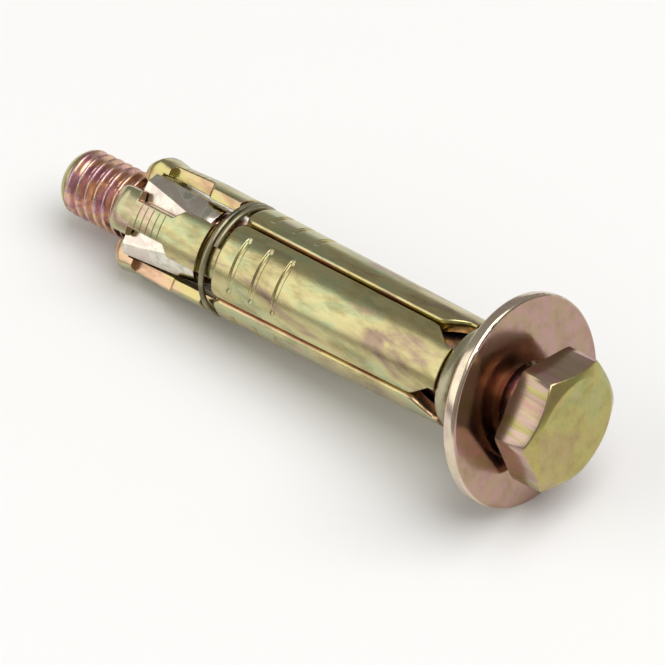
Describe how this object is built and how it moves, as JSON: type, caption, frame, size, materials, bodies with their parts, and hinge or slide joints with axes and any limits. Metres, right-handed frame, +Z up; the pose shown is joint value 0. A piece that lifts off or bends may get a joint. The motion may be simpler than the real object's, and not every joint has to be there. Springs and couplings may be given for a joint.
{
  "type": "shield anchor bolt",
  "caption": "Yellow zinc-plated masonry shield anchor: hexagon bolt and washer through a split steel shield with a tapered expander nut.",
  "frame": {"origin": "on the table, below the middle of the anchor as it lies on its washer's rim and two finger tips", "axes": "+X along the anchor from the threaded tail to the head, +Z up from the table; the bolt's axis rises 5.4 degrees towards +X"},
  "size_m": [0.0544, 0.0178, 0.0173],
  "materials": {
    "bolt_plating": "rolled steel, yellow passivated zinc with pink and green tints",
    "washer_plating": "blanked steel, satin yellow passivated zinc with a pink tint",
    "ferrule_plating": "pressed steel, smooth yellow passivated zinc",
    "shield_plating": "pressed steel, bright yellow passivated zinc with green and pink tints",
    "spring_wire": "drawn spring steel wire, dull olive grey",
    "bright_zinc": "steel, bright zinc, almost white"
  },
  "bodies": {
    "ferrule": {"ferrule": "ferrule_plating", "retaining_ring": "spring_wire"},
    "bolt": {"hex_bolt": "bolt_plating"},
    "washer": {"washer": "washer_plating"},
    "expander": {"expander_nut": "bright_zinc"},
    "segment_1": {"shield_segment_1": "shield_plating"},
    "segment_2": {"shield_segment_2": "shield_plating"},
    "segment_3": {"shield_segment_3": "shield_plating"},
    "segment_4": {"shield_segment_4": "shield_plating"}
  },
  "joints": [
    {"name": "bolt_turn", "type": "hinge", "parent": "ferrule", "child": "bolt", "pos_m": [0.02278, 0, 0.00858], "axis": [-0.9956, 0, -0.0935], "range_deg": [0, 2520]},
    {"name": "nut_draw", "type": "slide", "parent": "ferrule", "child": "expander", "axis": [0.9956, 0, 0.0935], "range_m": [0, 0.007]},
    {"name": "washer_spin", "type": "hinge", "parent": "ferrule", "child": "washer", "pos_m": [0.02124, 0, 0.00844], "axis": [0.9956, 0, 0.0935], "continuous": true},
    {"name": "segment_1_spread", "type": "hinge", "parent": "ferrule", "child": "segment_1", "pos_m": [0.01742, 0.0026, 0.00547], "axis": [0.0661, -0.7071, -0.704], "range_deg": [0, 1.4], "deforming": ["retaining_ring"]},
    {"name": "segment_2_spread", "type": "hinge", "parent": "ferrule", "child": "segment_2", "pos_m": [0.01693, 0.0026, 0.01065], "axis": [0.0661, 0.7071, -0.704], "range_deg": [0, 1.4]},
    {"name": "segment_3_spread", "type": "hinge", "parent": "ferrule", "child": "segment_3", "pos_m": [0.01693, -0.0026, 0.01065], "axis": [-0.0661, 0.7071, 0.704], "range_deg": [0, 1.4]},
    {"name": "segment_4_spread", "type": "hinge", "parent": "ferrule", "child": "segment_4", "pos_m": [0.01742, -0.0026, 0.00547], "axis": [-0.0661, -0.7071, 0.704], "range_deg": [0, 1.4]}
  ],
  "couplings": [
    {"joint": "nut_draw", "follows": "bolt_turn", "m_per_rad": 0.00015915},
    {"joint": "segment_1_spread", "follows": "bolt_turn", "ratio": 0.00055},
    {"joint": "segment_2_spread", "follows": "bolt_turn", "ratio": 0.00055},
    {"joint": "segment_3_spread", "follows": "bolt_turn", "ratio": 0.00055},
    {"joint": "segment_4_spread", "follows": "bolt_turn", "ratio": 0.00055}
  ]
}
